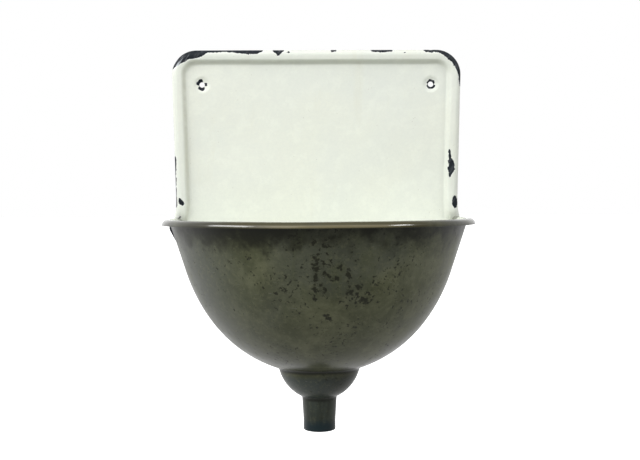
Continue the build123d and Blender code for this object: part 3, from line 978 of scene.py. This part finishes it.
# pale white, for random patches and for painted bounce light
WHITE_PALE_AND_BOUNCE = (0.840, 0.875, 0.770)
WHITE_GREY = (0.660, 0.690, 0.640)
WHITE_STAIN = (0.640, 0.630, 0.500)
WHITE_FRACTURE = (0.900, 0.920, 0.900)
FOOT_GRIME_AND_SHADE = (0.430, 0.415, 0.330)
PIN_BROWN = (0.240, 0.200, 0.130)
GREY_DARK = (0.054, 0.059, 0.026)
GREY_MID = (0.110, 0.115, 0.062)
GREY_BLUE = (0.064, 0.071, 0.060)
GREY_CUP = (0.036, 0.048, 0.044)
GREY_GREEN = (0.060, 0.068, 0.031)
GREY_LIGHT = (0.145, 0.148, 0.082)
GREY_BLACK = (0.010, 0.011, 0.007)
# near black, for real stains and for painted shade
GREY_STAIN_AND_SHADE = (0.010, 0.011, 0.003)
GREY_OLIVE = (0.034, 0.034, 0.010)
GREY_SCRATCH = (0.160, 0.165, 0.140)
LIP_BROWN = (0.048, 0.040, 0.006)
# tan of the painted reflection line on the lip
LIP_REFLECTION_TAN = (0.190, 0.155, 0.060)
BARE_NAVY = (0.004, 0.008, 0.013)
BARE_GREY = (0.014, 0.016, 0.023)
BARE_SCRATCH = (0.620, 0.660, 0.700)
RUST = (0.050, 0.030, 0.014)
TEAL = (0.004, 0.015, 0.020)
SPIGOT_DARK = (0.020, 0.024, 0.016)
BRASS_CLEAN = (0.520, 0.370, 0.150)
BRASS_DULL = (0.200, 0.140, 0.065)
BRASS_GREEN = (0.090, 0.150, 0.110)
LIME = (0.520, 0.520, 0.440)
WHITE_COAT = 0.5  # weight of the clear coat on sound white enamel
# Places of marks, painted shades and a painted sheen, in metres in the row frame
SHEEN_SIDE = (-0.145, -0.130, -0.225)
LIP_END_LEFT = (-0.167, -0.014, -0.161)
LIP_END_RIGHT = (0.167, -0.014, -0.161)
SCRAPED_CORNER = (-0.169, -0.009, 0.024)
# centre of the painted shade on the cup's right side
CUP_RIGHT_SHADE = (0.040, -0.135, -0.345)
SHADE_LEFT = (-0.082, -0.235, -0.178)
STAIN_CENTRE = (0.012, -0.250, -0.215)
LIP_FRONT = (0.010, -0.270, -0.163)
RIM_HEIGHT = RIM_Z * MM  # crest of the lip, in metres


def feed(socket, value):
    """Link a socket to an output, or set it to a plain value."""
    if isinstance(value, bpy.types.NodeSocket):
        socket.id_data.links.new(value, socket)
    elif isinstance(value, tuple) and socket.type == "RGBA":
        socket.default_value = (*value, 1.0)
    else:
        socket.default_value = value


def new_node(tree, kind, output, inputs, **settings):
    """One output of a new node, its settings made and its inputs fed."""
    node = tree.nodes.new("ShaderNode" + kind)
    for name, value in settings.items():
        setattr(node, name, value)
    for socket, value in inputs.items():
        feed(node.inputs[socket], value)
    return node.outputs[output]


class Surface:
    """A node material with short calls for the nodes that the finishes share."""

    def __init__(self, name, **settings):
        self.material = bpy.data.materials.new(name)
        self.material.use_nodes = True
        self.tree = self.material.node_tree
        self.shader = self.tree.nodes["Principled BSDF"]
        self.object_place = self.node("TexCoord", "Object", {})
        for socket, value in settings.items():
            self.shader.inputs[socket.replace("_", " ")].default_value = value

    def node(self, kind, output, inputs, **settings):
        return new_node(self.tree, kind, output, inputs, **settings)

    def stretch(self, scale, shift=(0.0, 0.0, 0.0), turn=(0.0, 0.0, 0.0)):
        """Object position turned (degrees) and scaled per axis, for streaks and brushed looks."""
        return self.node("Mapping", "Vector", {
            "Vector": self.object_place,
            "Scale": [1 / k for k in scale] if any(turn) else scale,
            "Rotation": [math.radians(a) for a in turn],
            "Location": shift,
        }, vector_type="TEXTURE" if any(turn) else "POINT")

    def noise(self, scale, detail=3.0, rough=0.5, warp=0.0, place=None):
        return self.node("TexNoise", "Fac", {
            "Vector": place or self.object_place,
            "Scale": scale, "Detail": detail, "Roughness": rough, "Distortion": warp,
        })

    def cells(self, scale):
        return self.node("TexVoronoi", "Distance", {"Vector": self.object_place, "Scale": scale})

    def attribute(self, name):
        return self.node("Attribute", "Fac", {}, attribute_name=name)

    def height(self):
        """Height above the row's origin, in metres."""
        return self.node("SeparateXYZ", "Z", {"Vector": self.object_place})

    def distance(self, point):
        """Distance from a point of the row frame, in metres."""
        return self.node("VectorMath", "Value", {0: self.object_place, 1: point}, operation="DISTANCE")

    def calc(self, operation, first, second):
        return self.node("Math", "Value", {0: first, 1: second}, operation=operation)

    def times(self, first, second):
        return self.calc("MULTIPLY", first, second)

    def plus(self, first, second):
        return self.calc("ADD", first, second)

    def swing(self, reach, *noise):
        """Noise about zero, from -reach / 2 to reach / 2."""
        return self.times(self.calc("SUBTRACT", self.noise(*noise), 0.5), reach)

    def remap(self, value, low, high, to_low=0.0, to_high=1.0):
        """Smooth rise from to_low to to_high between low and high."""
        return self.node("MapRange", "Result", {
            "Value": value, "From Min": low, "From Max": high, "To Min": to_low, "To Max": to_high,
        }, interpolation_type="SMOOTHSTEP")

    def mix(self, share, first, second):
        """Colour blend from first to second."""
        return self.node("Mix", 2, {0: share, 6: first, 7: second}, data_type="RGBA")

    def tint(self, colour, share, most, second):
        """Colour blend towards second, by no more than most of it."""
        return self.mix(self.times(share, most), colour, second)

    def blend(self, share, first, second):
        """Number blend from first to second."""
        return self.node("Mix", 0, {0: share, 2: first, 3: second}, data_type="FLOAT")

    def relief(self, height, strength, distance):
        """Bump, chained after any bump already on the shader."""
        inputs = {"Strength": strength, "Distance": distance, "Height": height}
        normal = self.shader.inputs["Normal"]
        if normal.is_linked:
            inputs["Normal"] = normal.links[0].from_socket
        feed(normal, self.node("Bump", "Normal", inputs))

    def finish(self, colour, roughness):
        """Colour and roughness of the shader, giving the finished material."""
        feed(self.shader.inputs["Base Color"], colour)
        feed(self.shader.inputs["Roughness"], roughness)
        return self.material


def white_layer(s):
    """Warm white fired enamel, with painted bounce light near the rim and painted shade and grime at the
    border's foot: colour, roughness and relief.
    """
    cloud = s.remap(s.noise(7.0, 2.0, 0.55, 0.6), 0.35, 0.68)
    patch = s.remap(s.noise(60.0, 4.0, 0.6), 0.36, 0.66)
    mottle = s.remap(s.noise(260.0, 3.0, 0.65), 0.34, 0.66)
    grain = s.remap(s.noise(900.0, 2.0, 0.7), 0.3, 0.72)
    stain = s.remap(s.noise(30.0, 5.0, 0.65, 0.4, s.stretch((1.0, 1.0, 0.22))), 0.56, 0.74)
    pin = s.times(s.remap(s.cells(210.0), 0.11, 0.05), s.remap(s.noise(95.0), 0.56, 0.64))
    colour = s.tint(WHITE_COOL, cloud, 0.5, WHITE_WARM)
    colour = s.tint(colour, patch, 0.22, WHITE_PALE_AND_BOUNCE)
    # painted bounce light: the white turns paler towards the bowl's rim
    rim_bounce = s.remap(s.height(), RIM_HEIGHT + 0.050, RIM_HEIGHT + 0.004, 0.0, 0.3)
    colour = s.mix(rim_bounce, colour, WHITE_PALE_AND_BOUNCE)
    # painted shade with a grime tint in the valley at the border's foot, strongest on the left side and the
    # top
    foot = s.times(s.attribute("foot"), s.remap(s.noise(70.0, 4.0, 0.6), 0.3, 0.6, 0.5, 1.0))
    colour = s.mix(foot, colour, FOOT_GRIME_AND_SHADE)
    colour = s.tint(colour, mottle, 0.20, WHITE_GREY)
    colour = s.tint(colour, grain, 0.20, WHITE_GREY)
    colour = s.tint(colour, stain, 0.20, WHITE_STAIN)
    colour = s.tint(colour, pin, 0.55, PIN_BROWN)
    rough = s.plus(s.times(patch, 0.10), s.times(grain, 0.06))
    rough = s.plus(rough, 0.16)
    peel = s.noise(330.0, 2.0, 0.5)
    return colour, rough, peel


def grey_layer(s):
    """Worn grey-green enamel of the outside, with painted shade at the joints and on the cup's right side
    and a painted sheen on the bowl's left: colour, roughness and relief.
    """
    mottle = s.noise(30.0, 5.0, 0.62, 0.3)
    fine = s.noise(230.0, 4.0, 0.68)
    run = s.noise(64.0, 4.0, 0.6, 0.2, s.stretch((1.0, 1.0, 0.18)))
    centre = s.remap(s.distance(STAIN_CENTRE), 0.125, 0.02)
    patch = s.noise(85.0, 4.0, 0.6, 0.2)
    colour = s.mix(s.remap(mottle, 0.34, 0.66), GREY_DARK, GREY_MID)
    colour = s.mix(s.remap(patch, 0.44, 0.66, 0.0, 0.5), colour, GREY_DARK)
    colour = s.mix(s.remap(s.noise(9.0, 2.0, 0.5, 0.6), 0.44, 0.68, 0.0, 0.5), colour, GREY_BLUE)
    colour = s.mix(s.remap(run, 0.48, 0.70, 0.0, 0.5), colour, GREY_GREEN)
    # painted sheen: bluer grey on the bowl's left side
    colour = s.mix(s.remap(s.distance(SHEEN_SIDE), 0.150, 0.050, 0.0, 0.6), colour, GREY_BLUE)
    colour = s.mix(s.remap(s.height(), RIM_HEIGHT - 0.169, RIM_HEIGHT - 0.177, 0.0, 0.85), colour, GREY_CUP)
    colour = s.mix(s.remap(fine, 0.48, 0.72, 0.0, 0.35), colour, GREY_LIGHT)
    stain = s.times(s.attribute("stain"), s.remap(s.noise(110.0, 3.0), 0.34, 0.58, 0.25, 1.0))
    seed = s.plus(s.noise(240.0, 4.0, 0.62, 0.2), s.times(centre, 0.045))
    seed = s.plus(seed, s.times(stain, 0.185))
    seed = s.plus(seed, s.remap(s.noise(24.0, 2.0), 0.36, 0.62, -0.075, 0.012))
    dark = s.remap(seed, 0.585, 0.69)
    colour = s.tint(colour, stain, 0.22, GREY_OLIVE)
    colour = s.tint(colour, dark, 0.92, GREY_STAIN_AND_SHADE)
    speck = s.times(s.remap(s.cells(330.0), 0.20, 0.10), s.remap(s.noise(48.0, 3.0), 0.44, 0.62))
    colour = s.tint(colour, speck, 0.75, GREY_BLACK)
    # painted shade at the joints under the bowl, ragged by the vertical runs
    joint_shade = s.plus(s.attribute("joint_shade"), s.times(s.calc("SUBTRACT", run, 0.5), 0.5))
    colour = s.mix(s.remap(joint_shade, 0.25, 0.85, 0.0, 0.9), colour, GREY_BLACK)
    # painted shade: the cup darker on its right side
    colour = s.mix(s.remap(s.distance(CUP_RIGHT_SHADE), 0.050, 0.012, 0.0, 0.6), colour, GREY_STAIN_AND_SHADE)
    scratch_place = s.stretch((1.0, 1.0, 9.0), (0.3, 0.1, 0.0))
    scratch = s.remap(s.noise(150.0, 2.0, 0.4, 0.15, scratch_place), 0.69, 0.75, 0.0, 0.4)
    colour = s.mix(scratch, colour, GREY_SCRATCH)
    rough = s.remap(mottle, 0.3, 0.7, 0.28, 0.42)
    rough = s.plus(rough, s.times(dark, 0.15))
    relief = s.calc("SUBTRACT", s.times(fine, 0.5), s.times(speck, 0.6))
    return colour, rough, relief


def bare_layer(s):
    """Dark ground coat and steel where the enamel has flaked off."""
    tone = s.remap(s.noise(150.0, 5.0, 0.7, 0.4), 0.40, 0.68)
    colour = s.mix(tone, BARE_NAVY, BARE_GREY)
    rust = s.remap(s.noise(75.0, 5.0, 0.7), 0.60, 0.72, 0.0, 0.45)
    colour = s.mix(rust, colour, RUST)
    slant = s.stretch((1.0, 1.0, 0.10), turn=(0.0, 35.0, 0.0))
    scratch = s.remap(s.noise(300.0, 3.0, 0.55, 0.1, slant), 0.52, 0.66, 0.0, 0.9)
    scraped = s.remap(s.distance(SCRAPED_CORNER), 0.022, 0.008, 0.06, 1.0)
    colour = s.mix(s.times(scratch, scraped), colour, BARE_SCRATCH)
    rough = s.remap(tone, 0.0, 1.0, 0.45, 0.65)
    return colour, rough, s.noise(420.0, 4.0, 0.7)


def flaked(s, layer):
    """Break a layer open to the bare ground coat where the chip distance is below zero."""
    colour, rough, peel = layer
    jag = s.swing(4.6, 240.0, 3.0, 0.6)
    jag = s.plus(jag, s.swing(1.6, 900.0, 3.0, 0.6))
    edge = s.plus(s.attribute("chip"), jag)
    bare_share = s.remap(edge, 0.12, -0.12)
    rim_share = s.remap(edge, 0.9, 0.2, 0.0, 0.6)
    bare_colour, bare_rough, bare_grain = bare_layer(s)
    colour = s.mix(rim_share, colour, WHITE_FRACTURE)
    colour = s.mix(bare_share, colour, bare_colour)
    rough = s.blend(bare_share, rough, bare_rough)
    feed(s.shader.inputs["Coat Weight"], s.blend(bare_share, WHITE_COAT, 0.0))
    s.relief(s.blend(bare_share, peel, bare_grain), 0.25, 0.00012)
    s.relief(s.remap(edge, -0.35, 0.25), 0.9, 0.0004)
    return s.finish(colour, rough)


def white_enamel():
    """White enamel with its chips."""
    s = Surface("white_enamel", Coat_Roughness=0.06, IOR=1.33)
    return flaked(s, white_layer(s))


def under_lip_shade(s):
    """Share of the painted shade under the lip: a dark blotchy band, solid near the left."""
    blotch = s.swing(0.060, 46.0, 4.0, 0.62)
    rise = s.plus(s.height(), blotch)
    band = s.remap(rise, RIM_HEIGHT - 0.036, RIM_HEIGHT - 0.012, 0.0, 0.95)
    ragged = s.remap(s.noise(38.0, 4.0, 0.6), 0.34, 0.58, 0.45, 1.0)
    solid = s.remap(s.distance(SHADE_LEFT), 0.085, 0.035)
    return s.times(band, s.blend(solid, ragged, 1.0))


def grey_enamel(name, under_lip):
    """Grey-green enamel of the outside, with or without the painted shade band under the lip."""
    s = Surface(name, Coat_Weight=0.15, Coat_Roughness=0.16, IOR=1.33)
    colour, rough, grain = grey_layer(s)
    if under_lip:
        # painted shade: dark band under the lip
        colour = s.mix(under_lip_shade(s), colour, GREY_STAIN_AND_SHADE)
    s.relief(grain, 0.3, 0.00015)
    return s.finish(colour, rough)


def basin_enamel():
    """Inside white, lip and outside grey, parted along the inner edge of the crest."""
    s = Surface("basin_enamel", Coat_Roughness=0.10, IOR=1.33)
    past = s.attribute("past_crest")
    wear = s.swing(3.2, 160.0, 5.0, 0.65)
    near_left = s.remap(s.distance(LIP_END_LEFT), 0.032, 0.016, 0.0, 10.0)
    near_right = s.remap(s.distance(LIP_END_RIGHT), 0.032, 0.016, 0.0, 10.0)
    inward = s.calc("SUBTRACT", past, s.calc("MAXIMUM", near_left, near_right))
    white_share = s.remap(s.plus(inward, wear), 0.9, 1.5)
    white, white_rough, peel = white_layer(s)
    grey, grey_rough, grain = grey_layer(s)
    # painted shade: dark band under the lip
    grey = s.mix(under_lip_shade(s), grey, GREY_STAIN_AND_SHADE)
    lip_share = s.remap(past, -12.0, -8.0, 0.0, 0.9)
    lip_tone = s.times(lip_share, s.remap(s.noise(24.0, 4.0), 0.30, 0.55, 0.6, 1.0))
    # the lip's brown tone is strongest at its front; its fade to lighter grey at the ends is a painted
    # reflection
    front = s.remap(s.distance(LIP_FRONT), 0.15, 0.07, 0.2, 1.0)
    middle = s.remap(s.distance(LIP_FRONT), 0.085, 0.045)
    grey = s.mix(s.times(lip_tone, front), grey, LIP_BROWN)
    # painted reflection: a tan line low on the lip's front
    tan_reflection = s.times(s.remap(past, -6.2, -7.4), s.remap(past, -9.8, -8.8))
    grey = s.mix(s.times(tan_reflection, s.times(middle, 0.5)), grey, LIP_REFLECTION_TAN)
    feed(s.shader.inputs["Coat Weight"], s.blend(lip_share, 0.15, 1.0))
    colour = s.mix(white_share, grey, white)
    rough = s.blend(white_share, grey_rough, white_rough)
    s.relief(s.blend(white_share, grain, peel), 0.25, 0.00013)
    return s.finish(colour, rough)


def spigot_enamel():
    """Grey enamel that turns dark blue-green and bare towards the spigot's end."""
    s = Surface("spigot_enamel", Coat_Weight=0.15, Coat_Roughness=0.16, IOR=1.33)
    colour, rough, grain = grey_layer(s)
    streak = s.noise(160.0, 4.0, 0.65, 0.2, s.stretch((1.0, 1.0, 0.15)))
    colour = s.mix(s.remap(streak, 0.36, 0.64, 0.35, 0.85), colour, SPIGOT_DARK)
    end = (RIM_Z - SPIGOT_END_DROP) * MM
    ragged = s.swing(0.022, 90.0, 5.0, 0.7)
    share = s.remap(s.plus(s.height(), ragged), end + 0.016, end + 0.006)
    colour = s.tint(colour, share, 0.85, TEAL)
    rough = s.blend(share, rough, 0.36)
    s.relief(grain, 0.35, 0.00018)
    return s.finish(colour, rough)


def aged_brass():
    """Dull brass with verdigris and lime scale."""
    s = Surface("aged_brass", Metallic=1.0)
    tarnish = s.remap(s.noise(95.0, 6.0, 0.65, 0.4), 0.36, 0.64)
    green = s.remap(s.noise(150.0, 5.0, 0.7), 0.58, 0.70, 0.0, 0.7)
    lime = s.remap(s.noise(230.0, 4.0, 0.7, 0.3), 0.62, 0.72, 0.0, 0.6)
    colour = s.mix(tarnish, BRASS_CLEAN, BRASS_DULL)
    colour = s.mix(green, colour, BRASS_GREEN)
    colour = s.mix(lime, colour, LIME)
    rough = s.remap(tarnish, 0.0, 1.0, 0.26, 0.5)
    s.relief(s.noise(600.0, 4.0, 0.7), 0.25, 0.0001)
    return s.finish(colour, rough)


# ---- pieces on their bodies
WHITE = white_enamel()
GREY = grey_enamel("grey_enamel", False)
UNDERSIDE = grey_enamel("bowl_outside_enamel", True)
BASIN = basin_enamel()
SPIGOT = spigot_enamel()
BRASS = aged_brass()


def install(piece, body, slot, nodes, *materials):
    """Dress a piece, ride it on its body and hide the CAD nodes it stands for."""
    for material in materials:
        piece.data.materials.append(material)
    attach(piece, body)
    if nodes:
        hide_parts(*nodes)


install(make_splashback(), "root", "white_enamel", ["back_panel"], WHITE, GREY)
install(make_basin(), "root", "grey_enamel", ["bowl"], BASIN, UNDERSIDE)
install(make_inner_seam(), "root", "white_enamel", [], WHITE)
install(make_outer_seam(), "root", "grey_enamel", [], GREY)
install(make_trap_cup(), "root", "grey_enamel", ["sump_cup"], GREY)
install(make_spigot(), "root", "grey_enamel", ["drain_spigot"], SPIGOT)
install(make_overflow_pipe(), "root", "aged_brass", ["standpipe"], BRASS)
install(make_strainer(), "strainer", "aged_brass", ["strainer_plate"], BRASS)
install(make_bell(), "strainer", "aged_brass", ["trap_bell"], BRASS)
install(make_knob(), "strainer", "aged_brass", ["pull_stud"], BRASS)
install(make_nut(), "strainer", "aged_brass", ["stud_nut"], BRASS)


# ---- studio
FLOOR_BELOW_RIM = 0.80  # metres, as are the lamps' and the camera's places
FLOOR_HALF = 40.0
FLOOR_DARK, FLOOR_LIGHT = (0.80, 0.80, 0.80), (0.82, 0.82, 0.82)
CAMERA_BACK = 1.220  # camera to the panel's field
CAMERA_ABOVE_RIM = 0.024
CAMERA_RIGHT = -0.017
CAMERA_PITCH = 1.9  # degrees down
CAMERA_ROLL = -0.3
CAMERA_YAW = -0.95  # degrees, turned to its right
LENS = 56.25
SURROUND = 0.25
SOFT_PATCHES = (  # direction, spread in degrees, strength
    ((-0.6, 1.0, 0.0), 80, 0.60),
    ((0.6, 1.0, 0.0), 80, 0.36),
    ((-0.8, -0.2, -0.7), 60, 0.22),
    ((0.0, 0.1, -1.0), 60, 0.25),
    ((0.8, -0.2, -0.7), 60, 0.12),
    ((0.0, -1.0, 1.2), 70, 0.84),
)
LAMPS = (  # name, place, size, watts
    ("key_left", (-1.2, -1.5, 0.9), (1.7, 1.5), 9.2),
    ("key_right", (1.2, -1.5, 0.7), (1.2, 1.2), 1.0),
    ("window_left", (-1.62, -0.70, 0.86), (1.2, 0.60), 23.0),
    ("window_right", (1.48, -0.80, 0.96), (0.5, 0.35), 8.5),
    ("overhead", (0.0, -1.35, 1.15), (2.2, 0.5), 2.0),
)
LAMP_AIM = (0.0, -0.1, -0.15)


def make_floor():
    """Plain white floor, luminous enough to look as white as the surround."""
    s = Surface("studio_floor", Roughness=0.8)
    s.finish(s.mix(s.noise(1.3, 3.0), FLOOR_DARK, FLOOR_LIGHT), 0.8)
    feed(s.shader.inputs["Emission Color"], (1.0, 1.0, 1.0))
    feed(s.shader.inputs["Emission Strength"], 1.0)
    half = FLOOR_HALF / MM
    z = RIM_Z - FLOOR_BELOW_RIM / MM
    corners = [(-half, -half, z), (half, -half, z), (half, half, z), (-half, half, z)]
    floor = build("studio_floor", corners, [(0, 1, 2, 3)])
    floor.data.materials.append(s.material)
    floor.visible_diffuse = False
    floor.visible_glossy = False


def make_light(name, place, size, watts):
    """Rectangular lamp aimed at the middle of the object."""
    lamp = bpy.data.lights.new(name, "AREA")
    lamp.shape = "RECTANGLE"
    lamp.size, lamp.size_y = size
    lamp.energy = watts
    holder = bpy.data.objects.new(name, lamp)
    holder.location = place
    aim = Vector(LAMP_AIM) - Vector(place)
    holder.rotation_euler = aim.to_track_quat("-Z", "Y").to_euler()
    bpy.context.scene.collection.objects.link(holder)


def soft_lobe(tree, direction, spread, strength):
    """Strength within a soft cone round a direction of the surround, nothing beyond its spread."""
    place = new_node(tree, "TexCoord", "Generated", {})
    aim = Vector(direction).normalized()
    along = new_node(tree, "VectorMath", "Value", {0: place, 1: aim}, operation="DOT_PRODUCT")
    return new_node(tree, "MapRange", "Result", {
        "Value": along, "From Min": math.cos(math.radians(spread)), "From Max": 1.0, "To Max": strength,
    }, interpolation_type="SMOOTHERSTEP")


def make_world():
    """White all round to the eye, and soft patches of light on a dimmer surround to light by."""
    world = bpy.data.worlds.new("studio")
    world.use_nodes = True
    tree = world.node_tree
    background = tree.nodes["Background"].inputs
    total = SURROUND
    for patch in SOFT_PATCHES:
        total = new_node(tree, "Math", "Value", {0: soft_lobe(tree, *patch), 1: total}, operation="ADD")
    to_eye = new_node(tree, "LightPath", "Is Camera Ray", {})
    feed(background["Strength"], new_node(tree, "Mix", 0, {0: to_eye, 2: total, 3: 1.0}))
    feed(background["Color"], (1.0, 1.0, 1.0))
    bpy.context.scene.world = world


def make_camera():
    """Camera at the viewing distance and angle of the reference view."""
    lens = bpy.data.cameras.new("camera")
    lens.sensor_width = 36.0
    lens.lens = LENS
    lens.clip_end = 200.0
    camera = bpy.data.objects.new("camera", lens)
    turns = ((0, 0, CAMERA_YAW), (90 - CAMERA_PITCH, 0, 0), (0, 0, CAMERA_ROLL))
    yaw, pitch, roll = (Euler([math.radians(a) for a in turn]).to_matrix() for turn in turns)
    camera.matrix_world = (yaw @ pitch @ roll).to_4x4()
    camera.location = (CAMERA_RIGHT, FIELD_Y * MM - CAMERA_BACK, RIM_Z * MM + CAMERA_ABOVE_RIM)
    bpy.context.scene.collection.objects.link(camera)
    bpy.context.scene.camera = camera


bpy.context.scene.view_settings.view_transform = "Standard"
make_floor()
make_world()
for lamp in LAMPS:
    make_light(*lamp)
make_camera()
